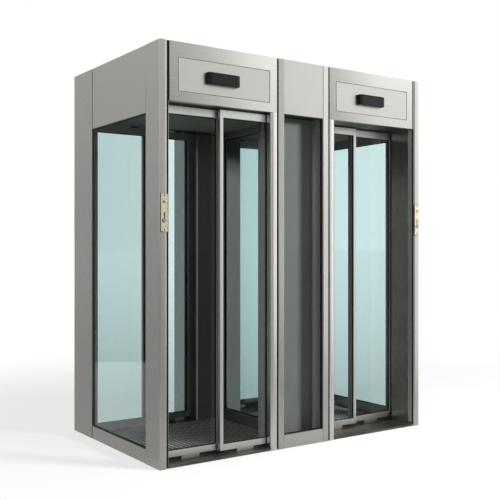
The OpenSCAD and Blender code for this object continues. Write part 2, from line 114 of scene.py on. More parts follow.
# The diamond tread: the lozenges' spacing, half length and half width, how deep their foot is sunk, the
# height of their upright rim and of their top, and the top's share of the foot's size
TREAD_PITCH, TREAD_HALF_L, TREAD_HALF_W = 30 * MM, 13 * MM, 4.2 * MM
TREAD_SINK, TREAD_RIM, TREAD_RISE, TREAD_TOP = 0.3 * MM, 0.2 * MM, 1.4 * MM, 0.55
TREAD_SIDES = 8

# Ramps of the studio: where each starts and ends, and its levels there. On the floor they run over
# metres from the middle of the portal or along an axis, on the backdrop over a part of the direction
# that is looked in.
RAMP = ("From Min", "From Max", "To Min", "To Max")
FLOOR_GLOW = dict(zip(RAMP, (1.6, 4.5, 0.68, 1.0)))
FLOOR_PAINT = dict(zip(RAMP, (1.6, 4.5, 0.20, 0.0)))
FLOOR_SIDE = dict(zip(RAMP, (-0.5, 4.0, 0.43, 1.34)))
FLOOR_CLOSE = dict(zip(RAMP, (1.0, 2.4, 0.32, 0.0)))
FLOOR_FRONT = dict(zip(RAMP, (-0.8, -0.3, 1.0, 0.1)))
FLOOR_IN_PANE = dict(zip(RAMP, (4.15, 4.4, 0.55, 0.03)))
FLOOR_REAR = dict(zip(RAMP, (0.0, 0.5, 0.06, 1.0)))
ROOM_ABOVE = dict(zip(RAMP, (0.0, 0.4, 1.0, 1.76)))
ROOM_ACROSS = dict(zip(RAMP, (-1.0, 1.0, 0.0, 1.0)))
ROOM_THROUGH = dict(zip(RAMP, (0.45, 0.67, 1.17, 1.30)))
ROOM_INSIDE = dict(zip(RAMP, (-0.25, 0.25, 0.12, 0.38)))
ROOM_AMBIENT = dict(zip(RAMP, (-0.25, 0.25, 0.12, 0.40)))

# The floor through glass: its level near the portal, what it gains far away, and over how many metres.
# The low level near the portal is a painted shadow of the portal
THROUGH_NEAR, THROUGH_GAIN, THROUGH_REACH = 0.75, 0.46, 3.7
FLOOR_BRIGHT_WAY = (1.0, 0.35, 0.0)
FLOOR_INSIDE, FLOOR_AMBIENT = 0.40, 0.22
FLOOR_REACH = 400.0

# The grey room that the steel mirrors, from the left (0) to the right (1), how bright it is lit, and in
# a pane
WALL_GREYS = ((0.0, 0.22), (0.26, 0.205), (0.32, 0.165), (0.50, 0.165), (0.64, 0.20), (0.70, 0.233),
              (0.74, 0.27), (0.79, 0.39), (0.83, 0.482), (0.87, 0.543), (0.93, 0.513), (1.0, 0.40))
WALL_LIT = 2.5
ROOM_IN_PANE = 0.03

# The lamps: name, place, the point that each faces, width, height and watts
LAMPS = (
    ("key_softbox", (3.0, -5.0, 3.0), (0.0, -0.3, 1.3), 1.4, 1.0, 950),
    ("top_softbox", (0.6, -0.8, 5.2), (0.0, 0.0, 1.2), 4.0, 4.0, 50),
    ("left_softbox", (-6.0, -0.3, 2.6), (0.0, 0.0, 1.2), 0.8, 1.4, 200),
    ("rear_softbox", (-5.5, 3.2, 3.6), (0.0, 0.3, 1.3), 2.6, 2.6, 30))

# What a lamp's light keeps at each face of a clear pane
CLEAR_TINT = "#f2f2f0"


def linear(hex_colour):
    """An sRGB hex colour as linear red, green, blue and alpha."""
    parts = [int(hex_colour[i:i + 2], 16) / 255 for i in (1, 3, 5)]
    return [c / 12.92 if c <= 0.04045 else ((c + 0.055) / 1.055) ** 2.4 for c in parts] + [1.0]


def per_metre(period_mm):
    """Texture scale that repeats about every period_mm, for coordinates in metres."""
    return 1.0 / (period_mm * MM)


def add_node(tree, kind, inputs=None, **settings):
    """Adds a shader node with its settings. Each input is a constant, or another node's socket to
    link."""
    node = tree.nodes.new(kind)
    for name, value in settings.items():
        setattr(node, name, value)
    for socket, value in (inputs or {}).items():
        if isinstance(value, bpy.types.NodeSocket):
            tree.links.new(value, node.inputs[socket])
        else:
            node.inputs[socket].default_value = value
    return node


def new_material(name):
    """An empty node material, its tree and the coordinates of the piece in metres."""
    material = bpy.data.materials.new(name)
    material.use_nodes = True
    material.node_tree.nodes.clear()
    place = add_node(material.node_tree, "ShaderNodeTexCoord").outputs["Object"]
    return material, material.node_tree, place


def bent_normal(tree, place, crown, lean, middle_x, middle_z):
    """The normal of a folded face that is crowned about middle_x, and about middle_z where that is
    given, or that leans away from the middle of the portal."""
    spot = add_node(tree, "ShaderNodeSeparateXYZ", {0: place})
    side = add_node(tree, "ShaderNodeMath", {0: spot.outputs["X"]}, operation="SIGN")
    out = add_node(tree, "ShaderNodeMath", {0: spot.outputs["X"]}, operation="ABSOLUTE")
    off = add_node(tree, "ShaderNodeMath", {0: out.outputs[0], 1: middle_x}, operation="SUBTRACT")
    bend = add_node(tree, "ShaderNodeMath", {0: off.outputs[0], 1: crown, 2: lean},
                    operation="MULTIPLY_ADD")
    tilt = add_node(tree, "ShaderNodeMath", {0: bend.outputs[0], 1: side.outputs[0]}, operation="MULTIPLY")
    leaning = add_node(tree, "ShaderNodeCombineXYZ", {"X": tilt.outputs[0]})
    if middle_z is not None:
        rise = add_node(tree, "ShaderNodeMath", {0: spot.outputs["Z"], 1: middle_z}, operation="SUBTRACT")
        nod = add_node(tree, "ShaderNodeMath", {0: rise.outputs[0], 1: crown}, operation="MULTIPLY")
        tree.links.new(nod.outputs[0], leaning.inputs["Z"])
    flat = add_node(tree, "ShaderNodeNewGeometry").outputs["Normal"]
    bent = add_node(tree, "ShaderNodeVectorMath", {0: flat, 1: leaning.outputs[0]}, operation="ADD")
    return add_node(tree, "ShaderNodeVectorMath", {0: bent.outputs[0]}, operation="NORMALIZE").outputs[0]


def ground_stainless_steel(name, shade, streak_shade, rough, upright=False, crown=0.0, lean=0.0,
                           middle_x=0.0, middle_z=None):
    """Stainless steel sheet, ground to a satin along its length. To the eye: a warm grey metal that
    mirrors broadly, with fine streaks, 0.1 mm in the real sheet and drawn at 1.8 mm, and a
    cloudiness about 280 mm across. A folded sheet isn't quite flat: a header's face and a jamb's
    are crowned about their middle, and a post's leans away from the middle of the portal, so each
    mirrors a little more of one side."""
    material, tree, place = new_material(name)
    across, length = per_metre(1.8), per_metre(140)
    grain = (across, across, length) if upright else (length, length, across)
    along = add_node(tree, "ShaderNodeMapping", {"Vector": place, "Scale": grain})
    streak = add_node(tree, "ShaderNodeTexNoise",
                      {"Vector": along.outputs["Vector"], "Scale": 1.0, "Detail": 3.0})
    cloud = add_node(tree, "ShaderNodeTexNoise", {"Vector": place, "Scale": per_metre(280), "Detail": 3.0})
    part = add_node(tree, "ShaderNodeMath", {0: streak.outputs["Fac"], 1: 0.7}, operation="MULTIPLY")
    share = add_node(tree, "ShaderNodeMath", {0: cloud.outputs["Fac"], 1: 0.3, 2: part.outputs[0]},
                     operation="MULTIPLY_ADD")
    spread = add_node(tree, "ShaderNodeMapRange",
                      {"Value": share.outputs[0], "From Min": 0.3, "From Max": 0.7})
    colour = add_node(tree, "ShaderNodeMix",
                      {0: spread.outputs["Result"], 6: linear(shade), 7: linear(streak_shade)},
                      data_type="RGBA")
    gloss = add_node(tree, "ShaderNodeMapRange",
                     {"Value": share.outputs[0], "To Min": rough - 0.06, "To Max": rough + 0.06})
    relief = add_node(tree, "ShaderNodeBump",
                      {"Height": streak.outputs["Fac"], "Strength": 0.06, "Distance": 0.1 * MM})
    if crown or lean:
        tree.links.new(bent_normal(tree, place, crown, lean, middle_x, middle_z), relief.inputs["Normal"])
    steel = add_node(tree, "ShaderNodeBsdfPrincipled",
                     {"Base Color": colour.outputs[2], "Roughness": gloss.outputs["Result"],
                      "Normal": relief.outputs["Normal"], "Metallic": 1.0})
    add_node(tree, "ShaderNodeOutputMaterial", {"Surface": steel.outputs["BSDF"]})
    return material


def stoved_lacquer(name, shade, cloud_shade, rough):
    """Folded sheet steel under a stoved lacquer. To the eye: a satin grey, with a cloudiness about
    280 mm across and a faint orange peel 6 mm across."""
    material, tree, place = new_material(name)
    cloud = add_node(tree, "ShaderNodeTexNoise", {"Vector": place, "Scale": per_metre(280), "Detail": 3.0})
    peel = add_node(tree, "ShaderNodeTexNoise", {"Vector": place, "Scale": per_metre(6), "Detail": 2.0})
    colour = add_node(tree, "ShaderNodeMix",
                      {0: cloud.outputs["Fac"], 6: linear(shade), 7: linear(cloud_shade)},
                      data_type="RGBA")
    gloss = add_node(tree, "ShaderNodeMapRange",
                     {"Value": cloud.outputs["Fac"], "To Min": rough - 0.05, "To Max": rough + 0.06})
    skin = add_node(tree, "ShaderNodeBump",
                    {"Height": peel.outputs["Fac"], "Strength": 0.06, "Distance": 0.2 * MM})
    paint = add_node(tree, "ShaderNodeBsdfPrincipled",
                     {"Base Color": colour.outputs[2], "Roughness": gloss.outputs["Result"],
                      "Normal": skin.outputs["Normal"], "IOR": 1.5})
    add_node(tree, "ShaderNodeOutputMaterial", {"Surface": paint.outputs["BSDF"]})
    return material


def satin_anodised_aluminium(name, shade, streak_shade):
    """Extruded aluminium, etched and anodised. To the eye: a cool satin metal with fine die lines
    along the stiles. The lines are 0.2 mm apart and drawn at 1.5 mm, so that they show."""
    material, tree, place = new_material(name)
    along = add_node(tree, "ShaderNodeMapping",
                     {"Vector": place, "Scale": (per_metre(1.5), per_metre(1.5), per_metre(400))})
    lines = add_node(tree, "ShaderNodeTexNoise",
                     {"Vector": along.outputs["Vector"], "Scale": 1.0, "Detail": 2.0})
    bloom = add_node(tree, "ShaderNodeTexNoise", {"Vector": place, "Scale": per_metre(150), "Detail": 2.0})
    colour = add_node(tree, "ShaderNodeMix",
                      {0: lines.outputs["Fac"], 6: linear(shade), 7: linear(streak_shade)},
                      data_type="RGBA")
    gloss = add_node(tree, "ShaderNodeMapRange",
                     {"Value": bloom.outputs["Fac"], "To Min": 0.30, "To Max": 0.42})
    relief = add_node(tree, "ShaderNodeBump",
                      {"Height": lines.outputs["Fac"], "Strength": 0.05, "Distance": 0.1 * MM})
    metal = add_node(tree, "ShaderNodeBsdfPrincipled",
                     {"Base Color": colour.outputs[2], "Roughness": gloss.outputs["Result"],
                      "Normal": relief.outputs["Normal"], "Metallic": 1.0})
    add_node(tree, "ShaderNodeOutputMaterial", {"Surface": metal.outputs["BSDF"]})
    return material


def laminated_float_glass(name, tint, shine=CLEAR_TINT):
    """Two sheets of float glass on a clear interlayer. To the eye: clear, with the cyan-green of
    its iron and sharp faint reflections. The lamps shine through each of its faces with the tint of
    shine."""
    material, tree, _ = new_material(name)
    pane = add_node(tree, "ShaderNodeBsdfPrincipled",
                    {"Base Color": linear(tint), "Roughness": 0.0, "IOR": 1.5, "Transmission Weight": 1.0})
    clear = add_node(tree, "ShaderNodeBsdfTransparent", {"Color": linear(shine)})
    path = add_node(tree, "ShaderNodeLightPath")
    lit = add_node(tree, "ShaderNodeMixShader",
                   {0: path.outputs["Is Shadow Ray"], 1: pane.outputs["BSDF"], 2: clear.outputs["BSDF"]})
    add_node(tree, "ShaderNodeOutputMaterial", {"Surface": lit.outputs["Shader"]})
    return material


def extruded_rubber(name, shade, bloom_shade):
    """EPDM rubber, extruded and cured. To the eye: a matt black with a grey bloom in places and a
    fine grit, drawn at 1.5 mm so that it shows."""
    material, tree, place = new_material(name)
    bloom = add_node(tree, "ShaderNodeTexNoise", {"Vector": place, "Scale": per_metre(60), "Detail": 4.0})
    grit = add_node(tree, "ShaderNodeTexNoise", {"Vector": place, "Scale": per_metre(1.5), "Detail": 2.0})
    colour = add_node(tree, "ShaderNodeMix",
                      {0: bloom.outputs["Fac"], 6: linear(shade), 7: linear(bloom_shade)},
                      data_type="RGBA")
    dull = add_node(tree, "ShaderNodeMapRange",
                    {"Value": grit.outputs["Fac"], "To Min": 0.55, "To Max": 0.75})
    skin = add_node(tree, "ShaderNodeBump",
                    {"Height": grit.outputs["Fac"], "Strength": 0.15, "Distance": 0.2 * MM})
    rubber = add_node(tree, "ShaderNodeBsdfPrincipled",
                      {"Base Color": colour.outputs[2], "Roughness": dull.outputs["Result"],
                       "Normal": skin.outputs["Normal"], "IOR": 1.52})
    add_node(tree, "ShaderNodeOutputMaterial", {"Surface": rubber.outputs["BSDF"]})
    return material


def moulded_plastic(name, shade, worn_shade, rough, grain_mm):
    """ABS, or acrylic for a window, injection moulded in an etched tool. To the eye: a deep
    grey-black with a soft gloss broken by a leathery grain, which is 0.3 mm in the tool and drawn
    coarser so that it shows."""
    material, tree, place = new_material(name)
    grain = add_node(tree, "ShaderNodeTexVoronoi", {"Vector": place, "Scale": per_metre(grain_mm)})
    haze = add_node(tree, "ShaderNodeTexNoise", {"Vector": place, "Scale": per_metre(70), "Detail": 3.0})
    colour = add_node(tree, "ShaderNodeMix",
                      {0: haze.outputs["Fac"], 6: linear(shade), 7: linear(worn_shade)},
                      data_type="RGBA")
    gloss = add_node(tree, "ShaderNodeMapRange",
                     {"Value": haze.outputs["Fac"], "To Min": rough - 0.06, "To Max": rough + 0.08})
    skin = add_node(tree, "ShaderNodeBump",
                    {"Height": grain.outputs["Distance"], "Strength": 0.12, "Distance": 0.1 * MM})
    plastic = add_node(tree, "ShaderNodeBsdfPrincipled",
                       {"Base Color": colour.outputs[2], "Roughness": gloss.outputs["Result"],
                        "Normal": skin.outputs["Normal"], "IOR": 1.54, "Specular IOR Level": 0.15})
    add_node(tree, "ShaderNodeOutputMaterial", {"Surface": plastic.outputs["BSDF"]})
    return material


def walked_brushed_steel(name, shade, rubbed_shade):
    """Stainless steel sheet, brushed along the threshold and dulled by shoes. To the eye: a dark
    satin metal with lengthwise scratches, brighter where it is rubbed. The scratches are 0.1 mm and
    drawn at 1.2 mm."""
    material, tree, place = new_material(name)
    along = add_node(tree, "ShaderNodeMapping",
                     {"Vector": place, "Scale": (per_metre(250), per_metre(1.2), per_metre(1.2))})
    scratch = add_node(tree, "ShaderNodeTexNoise",
                       {"Vector": along.outputs["Vector"], "Scale": 1.0, "Detail": 3.0})
    tread = add_node(tree, "ShaderNodeTexNoise", {"Vector": place, "Scale": per_metre(180), "Detail": 4.0})
    rub = add_node(tree, "ShaderNodeMath", {0: scratch.outputs["Fac"], 1: tread.outputs["Fac"]},
                   operation="MULTIPLY")
    spread = add_node(tree, "ShaderNodeMapRange",
                      {"Value": rub.outputs[0], "From Min": 0.12, "From Max": 0.42})
    colour = add_node(tree, "ShaderNodeMix",
                      {0: spread.outputs["Result"], 6: linear(shade), 7: linear(rubbed_shade)},
                      data_type="RGBA")
    gloss = add_node(tree, "ShaderNodeMapRange",
                     {"Value": spread.outputs["Result"], "To Min": 0.52, "To Max": 0.34})
    relief = add_node(tree, "ShaderNodeBump",
                      {"Height": scratch.outputs["Fac"], "Strength": 0.1, "Distance": 0.1 * MM})
    steel = add_node(tree, "ShaderNodeBsdfPrincipled",
                     {"Base Color": colour.outputs[2], "Roughness": gloss.outputs["Result"],
                      "Normal": relief.outputs["Normal"], "Metallic": 0.9})
    add_node(tree, "ShaderNodeOutputMaterial", {"Surface": steel.outputs["BSDF"]})
    return material


def studded_floor_rubber(name, shade, dust_shade):
    """Synthetic rubber sheet, pressed with a diamond tread. To the eye: a warm grey, dark on the
    sheet and pale on the tread, partly rubbed and partly a painted highlight on the raised lozenges,
    marbled about 220 mm across, with pale dust that lies in a 2.5 mm grain."""
    material, tree, place = new_material(name)
    marble = add_node(tree, "ShaderNodeTexNoise", {"Vector": place, "Scale": per_metre(220), "Detail": 5.0})
    grit = add_node(tree, "ShaderNodeTexNoise", {"Vector": place, "Scale": per_metre(2.5), "Detail": 2.0})
    dust = add_node(tree, "ShaderNodeMath", {0: marble.outputs["Fac"], 1: grit.outputs["Fac"]},
                    operation="MULTIPLY")
    spread = add_node(tree, "ShaderNodeMapRange",
                      {"Value": dust.outputs[0], "From Min": 0.14, "From Max": 0.40})
    colour = add_node(tree, "ShaderNodeMix",
                      {0: spread.outputs["Result"], 6: linear(shade), 7: linear(dust_shade)},
                      data_type="RGBA")
    dull = add_node(tree, "ShaderNodeMapRange",
                    {"Value": marble.outputs["Fac"], "To Min": 0.42, "To Max": 0.62})
    skin = add_node(tree, "ShaderNodeBump",
                    {"Height": grit.outputs["Fac"], "Strength": 0.2, "Distance": 0.2 * MM})
    rubber = add_node(tree, "ShaderNodeBsdfPrincipled",
                      {"Base Color": colour.outputs[2], "Roughness": dull.outputs["Result"],
                       "Normal": skin.outputs["Normal"], "IOR": 1.52})
    add_node(tree, "ShaderNodeOutputMaterial", {"Surface": rubber.outputs["BSDF"]})
    return material


def rolled_emulsion(name, shade, lap_shade):
    """Steel ceiling sheet, painted with a roller. To the eye: a pale matt grey with the roller's 5
    mm stipple and its faint laps, about 350 mm across."""
    material, tree, place = new_material(name)
    stipple = add_node(tree, "ShaderNodeTexNoise", {"Vector": place, "Scale": per_metre(5), "Detail": 2.0})
    lap = add_node(tree, "ShaderNodeTexNoise", {"Vector": place, "Scale": per_metre(350), "Detail": 2.0})
    colour = add_node(tree, "ShaderNodeMix",
                      {0: lap.outputs["Fac"], 6: linear(shade), 7: linear(lap_shade)},
                      data_type="RGBA")
    dull = add_node(tree, "ShaderNodeMapRange",
                    {"Value": lap.outputs["Fac"], "To Min": 0.5, "To Max": 0.7})
    skin = add_node(tree, "ShaderNodeBump",
                    {"Height": stipple.outputs["Fac"], "Strength": 0.1, "Distance": 0.2 * MM})
    paint = add_node(tree, "ShaderNodeBsdfPrincipled",
                     {"Base Color": colour.outputs[2], "Roughness": dull.outputs["Result"],
                      "Normal": skin.outputs["Normal"], "IOR": 1.5})
    add_node(tree, "ShaderNodeOutputMaterial", {"Surface": paint.outputs["BSDF"]})
    return material


def speckled_enamel(name, shade, speck_shade):
    """Die-cast zinc under a speckled enamel. To the eye: a warm beige with brown-grey specks, 1 mm
    in the real plate and drawn at 5 mm so that they show, and a dull gloss."""
    material, tree, place = new_material(name)
    specks = add_node(tree, "ShaderNodeTexNoise",
                      {"Vector": place, "Scale": per_metre(5), "Detail": 3.0, "Roughness": 0.7})
    spread = add_node(tree, "ShaderNodeMapRange",
                      {"Value": specks.outputs["Fac"], "From Min": 0.42, "From Max": 0.62})
    colour = add_node(tree, "ShaderNodeMix",
                      {0: spread.outputs["Result"], 6: linear(shade), 7: linear(speck_shade)},
                      data_type="RGBA")
    gloss = add_node(tree, "ShaderNodeMapRange",
                     {"Value": spread.outputs["Result"], "To Min": 0.38, "To Max": 0.55})
    skin = add_node(tree, "ShaderNodeBump",
                    {"Height": specks.outputs["Fac"], "Strength": 0.15, "Distance": 0.2 * MM})
    enamel = add_node(tree, "ShaderNodeBsdfPrincipled",
                      {"Base Color": colour.outputs[2], "Roughness": gloss.outputs["Result"],
                       "Normal": skin.outputs["Normal"], "Metallic": 0.15, "IOR": 1.5})
    add_node(tree, "ShaderNodeOutputMaterial", {"Surface": enamel.outputs["BSDF"]})
    return material


def turned_steel(name, shade, groove_shade):
    """Steel, turned and left bare or blackened. To the eye: a metal broken by the tool's fine
    marks, 0.1 mm in the real one and drawn at 1 mm."""
    material, tree, place = new_material(name)
    marks = add_node(tree, "ShaderNodeTexNoise", {"Vector": place, "Scale": per_metre(1), "Detail": 2.0})
    colour = add_node(tree, "ShaderNodeMix",
                      {0: marks.outputs["Fac"], 6: linear(shade), 7: linear(groove_shade)},
                      data_type="RGBA")
    gloss = add_node(tree, "ShaderNodeMapRange",
                     {"Value": marks.outputs["Fac"], "To Min": 0.2, "To Max": 0.36})
    relief = add_node(tree, "ShaderNodeBump",
                      {"Height": marks.outputs["Fac"], "Strength": 0.1, "Distance": 0.05 * MM})
    steel = add_node(tree, "ShaderNodeBsdfPrincipled",
                     {"Base Color": colour.outputs[2], "Roughness": gloss.outputs["Result"],
                      "Normal": relief.outputs["Normal"], "Metallic": 1.0})
    add_node(tree, "ShaderNodeOutputMaterial", {"Surface": steel.outputs["BSDF"]})
    return material


POST = ground_stainless_steel("ground_stainless_posts", "#b0afaa", "#b8b7b2", 0.28, upright=True,
                              lean=0.07)
PANEL = ground_stainless_steel("ground_stainless_panels", "#b2b1ac", "#bbbab5", 0.34)
HEADER = ground_stainless_steel("ground_stainless_headers", "#b0afaa", "#bab9b4", 0.28, crown=0.30,
                                middle_x=HEADER_MIDDLE_X, middle_z=HEADER_MIDDLE_Z)
# The jambs' steel is lighter than the posts', a painted highlight on their rounded faces
JAMB = ground_stainless_steel("ground_stainless_jambs_with_painted_highlight", "#cbcac6", "#d5d4d0", 0.26, upright=True,
                              crown=4.6, middle_x=JAMB_MIDDLE_X)
# Painted shade: the covers' lacquer is darkened for the dim cabins, and warmed against the glass's tint.
# Painted light: the dividers' lacquer is made pale, so that their shaded part reads lighter.
COVER = stoved_lacquer("stoved_lacquer_darkened_as_shade", "#7c7775", "#837e7c", 0.44)
DIVIDER = stoved_lacquer("stoved_lacquer_paled_as_light", "#dcd5d3", "#e4dddb", 0.44)
LEAF = satin_anodised_aluminium("satin_anodised_aluminium_leaves", "#bcbcb8", "#c9c9c5")
GLASS = laminated_float_glass("laminated_float_glass", "#e6f3f3")
SIDE_GLASS = laminated_float_glass("thick_laminated_float_glass", "#d9e8e8")
# These two keep back more of the lamps' light than their tint, a painted shade on what lies behind them
PARTITION_GLASS = laminated_float_glass("double_laminated_float_glass_casting_painted_shade", "#d7e4e4", shine="#5a5a58")
BAY_GLASS = laminated_float_glass("laminated_float_glass_casting_painted_shade", "#e6f3f3", shine="#9d9d9b")
GASKET = extruded_rubber("extruded_epdm_rubber", "#0e0f10", "#1c1d1e")
SENSOR = moulded_plastic("moulded_abs_sensor", "#09090a", "#101011", 0.45, 1.6)
WINDOW = moulded_plastic("moulded_dark_acrylic_window", "#0c0c0d", "#121213", 0.40, 8.0)
TRACK = walked_brushed_steel("walked_brushed_steel", "#46463f", "#6e6e66")
FLOOR = studded_floor_rubber("pressed_studded_rubber", "#3a3837", "#5c5958")
# The tread's pale is partly wear and partly a painted highlight on the raised lozenges
TREAD = studded_floor_rubber("tread_rubber_worn_and_highlighted", "#a19e9c", "#c6c3c0")
CEILING = rolled_emulsion("rolled_ceiling_emulsion", "#9a9794", "#a29f9c")
PLATE = speckled_enamel("speckled_enamel_zinc", "#a39b88", "#7d735f")
SWITCH = turned_steel("turned_stainless_steel", "#b8b8b4", "#8e8e8a")
SCREW = turned_steel("blackened_steel_screws", "#3a3836", "#24221f")

BY_SLOT = {
    "post_metal": POST, "jamb_metal": JAMB, "panel_metal": PANEL, "leaf_metal": LEAF, "glass": GLASS,
    "gasket": GASKET, "sensor_plastic": SENSOR, "track_metal": TRACK, "floor_covering": FLOOR,
    "ceiling_paint": CEILING, "plate_paint": PLATE, "switch_metal": SWITCH}
OWN_FINISH = {
    "pocket_dividers": DIVIDER, "pocket_covers": COVER, "front_door_headers": HEADER,
    "rear_door_headers": HEADER, "side_glass": SIDE_GLASS, "partition_glass": PARTITION_GLASS,
    "centre_bay_glass": BAY_GLASS}
SLOT_OF = {part["node"]: part["material_slot"] for part in frame["record"]["subparts"]}


def finish_of(node):
    """The material of a CAD node: its own where it has one, otherwise its slot's."""
    return OWN_FINISH.get(node, BY_SLOT[SLOT_OF[node]])


def put_piece(name, form, body, slot, *materials):
    """Turns a bmesh into a piece of the scene that rides on a body and takes the given materials."""
    mesh = bpy.data.meshes.new(name)
    bmesh.ops.recalc_face_normals(form, faces=form.faces)
    form.to_mesh(mesh)
    form.free()
    for material in materials:
        mesh.materials.append(material)
    piece = bpy.data.objects.new(name, mesh)
    bpy.context.scene.collection.objects.link(piece)
    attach(piece, body)
    return piece


def form_of(node):
    """A bmesh of a CAD node, with whole flat faces."""
    form = bmesh.new()
    form.from_mesh(frame["nodes"][node].data)
    bmesh.ops.remove_doubles(form, verts=form.verts, dist=WELD)
    bmesh.ops.dissolve_limit(form, angle_limit=FLAT_ANGLE, verts=form.verts, edges=form.edges)
    return form


def ease(form, ease_mm):
    """Eases a form's sharp outer edges, as folded, cast or extruded metal has them."""
    crisp = [edge for edge in form.edges
             if edge.is_manifold and edge.is_convex and edge.calc_face_angle() > SHARP_ANGLE]
    bmesh.ops.bevel(form, geom=crisp, offset=ease_mm * MM, segments=2, profile=0.5, affect="EDGES",
                    clamp_overlap=True)
    for face in form.faces:
        longest = max(edge.calc_length() for edge in face.edges)
        face.smooth = face.calc_area() / longest < ROUND_WIDTH


def eased(node, ease_mm):
    """A bmesh of a CAD node with eased edges."""
    form = form_of(node)
    ease(form, ease_mm)
    return form


def put_eased(node, ease_mm):
    """Puts the eased copy of a node of the standing frame in its place."""
    piece = put_piece(f"eased_{node}", eased(node, ease_mm), "frame", SLOT_OF[node], finish_of(node))
    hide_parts(node)


def centre_posts_with_blocks():
    """The centre posts: the blocks behind them have a round outer edge, and are lacquered like the
    dividers in the bay and at their inner ends."""
    form = form_of("centre_posts")
    corners = [edge for edge in form.edges
               if all(abs(abs(end.co.x) - BLOCK_X) < NEAR and abs(abs(end.co.y) - BLOCK_END_Y) < NEAR
                      for end in edge.verts)]
    bmesh.ops.bevel(form, geom=corners, offset=BLOCK_EDGE_R, segments=5, profile=0.5, affect="EDGES")
    ease(form, POST_EASE_MM)
    for face in form.faces:
        middle = face.calc_center_median()
        in_bay = abs(middle.x) < BLOCK_BAY_X + CLEAR and abs(middle.y) < HALF_DEPTH - POST_FACE_DEEP
        at_end = abs(middle.y) < BLOCK_END_Y + BLOCK_EDGE_R
        face.material_index = int(in_bay or at_end)
    piece = put_piece("centre_posts_with_blocks", form, "frame", "post_metal", POST, DIVIDER)
    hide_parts("centre_posts")


def put_leaf_frame(door, leaf):
    """A leaf's eased frame. Its hangers take the dark steel of the tracks as painted shade, so
    that the gap under the soffit reads dark.
    """
    node = f"{door}_{leaf}_leaf"
    form = eased(node, LEAF_EASE_MM)
    # The hangers above the leaf's head take the tracks' dark steel, a painted shade
    for face in form.faces:
        face.material_index = int(face.calc_center_median().z > LEAF_HEAD_Z + CLEAR)
    piece = put_piece(f"eased_{node}", form, f"{door}_{leaf}", "leaf_metal", LEAF, TRACK)
    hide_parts(node)


def sensors_with_windows():
    """The motion sensors: eased housings whose fronts hold a sunk, darker glossy window."""
    form = eased("motion_sensors", SENSOR_EASE_MM)
    fronts = [face for face in form.faces
              if abs(face.normal.y) > 0.999 and abs(face.calc_center_median().y) > SENSOR_FRONT - CLEAR]
    for front in fronts:
        bmesh.ops.inset_individual(form, faces=[front], thickness=WINDOW_RIM)
        bmesh.ops.inset_individual(form, faces=[front], thickness=WINDOW_STEP, depth=-WINDOW_SUNK)
        front.material_index = 1
    piece = put_piece("sensors_with_windows", form, "frame", "sensor_plastic", SENSOR, WINDOW)
    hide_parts("motion_sensors")


def rebate_seals():
    """The black lip seals in the rebate of each corner post, beside the doorway, from the floor to
    the soffit. Their black is also a painted shade in the rebate."""
    form = bmesh.new()
    for side in (-1, 1):
        for out in (-1, 1):
            lip = [(side * (REBATE_X - stand * MM), out * (HALF_DEPTH - deep * MM))
                   for stand, deep in SEAL_LIP]
            low, high = ([form.verts.new((x, y, z)) for x, y in lip] for z in (FLOOR_TOP, SOFFIT_Z))
            for k in range(len(lip)):
                follow = (k + 1) % len(lip)
                form.faces.new((low[k], low[follow], high[follow], high[k]))
            form.faces.new(low[::-1])
            form.faces.new(high)
    put_piece("rebate_seals", form, "frame", "gasket", GASKET)


def glazing_beads(door, leaf):
    """The black wedge beads that hold a leaf's glass, on both of its sides."""
    low, high = (Vector(corner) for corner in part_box(f"{door}_{leaf}_glass"))
    form = bmesh.new()
    for side, face_y in ((-1, low.y), (1, high.y)):
        loops = []
        for inset_mm, out_mm in BEAD_WEDGE:
            inset = inset_mm * MM
            y = face_y + side * out_mm * MM
            corners = ((low.x + inset, low.z + inset), (high.x - inset, low.z + inset),
                       (high.x - inset, high.z - inset), (low.x + inset, high.z - inset))
            loops.append([form.verts.new((x, y, z)) for x, z in corners])
        for near, far in zip(loops, loops[1:] + loops[:1]):
            for i in range(4):
                form.faces.new((near[i], near[(i + 1) % 4], far[(i + 1) % 4], far[i]))
    put_piece(f"{door}_{leaf}_glazing_beads", form, f"{door}_{leaf}", "gasket", GASKET)


def add_lozenge(form, middle, degrees):
    """Adds one raised lozenge of the tread, turned about its middle."""
    turn = Matrix.Rotation(math.radians(degrees), 2)
    angles = [math.tau * k / TREAD_SIDES for k in range(TREAD_SIDES)]
    rings = []
    for scale, rise in ((1.0, -TREAD_SINK), (1.0, TREAD_RIM), (TREAD_TOP, TREAD_RISE)):
        length, width = scale * TREAD_HALF_L, scale * TREAD_HALF_W
        points = [middle + turn @ Vector((length * math.cos(a), width * math.sin(a))) for a in angles]
        rings.append([form.verts.new((point.x, point.y, FLOOR_TOP + rise)) for point in points])
    for low, high in zip(rings, rings[1:]):
        for k in range(TREAD_SIDES):
            follow = (k + 1) % TREAD_SIDES
            form.faces.new((low[k], low[follow], high[follow], high[k]))
    form.faces.new(rings[0][::-1])
    form.faces.new(rings[-1])


def floor_treads():
    """The diamond tread of both cabin floors: raised lozenges that lie crosswise in turn."""
    form = bmesh.new()
    width = CABIN_WALL_X - PARTITION_HALF
    columns = int(width / TREAD_PITCH)
    rows = int(2 * CABIN_HALF_DEPTH / TREAD_PITCH)
    start = PARTITION_HALF + (width - (columns - 1) * TREAD_PITCH) / 2
    for side in (-1, 1):
        for i in range(columns):
            for j in range(rows):
                middle = Vector((side * (start + i * TREAD_PITCH), (j - (rows - 1) / 2) * TREAD_PITCH))
                add_lozenge(form, middle, 45 if (i + j) % 2 else -45)
    put_piece("floor_treads", form, "frame", "floor_covering", TREAD)


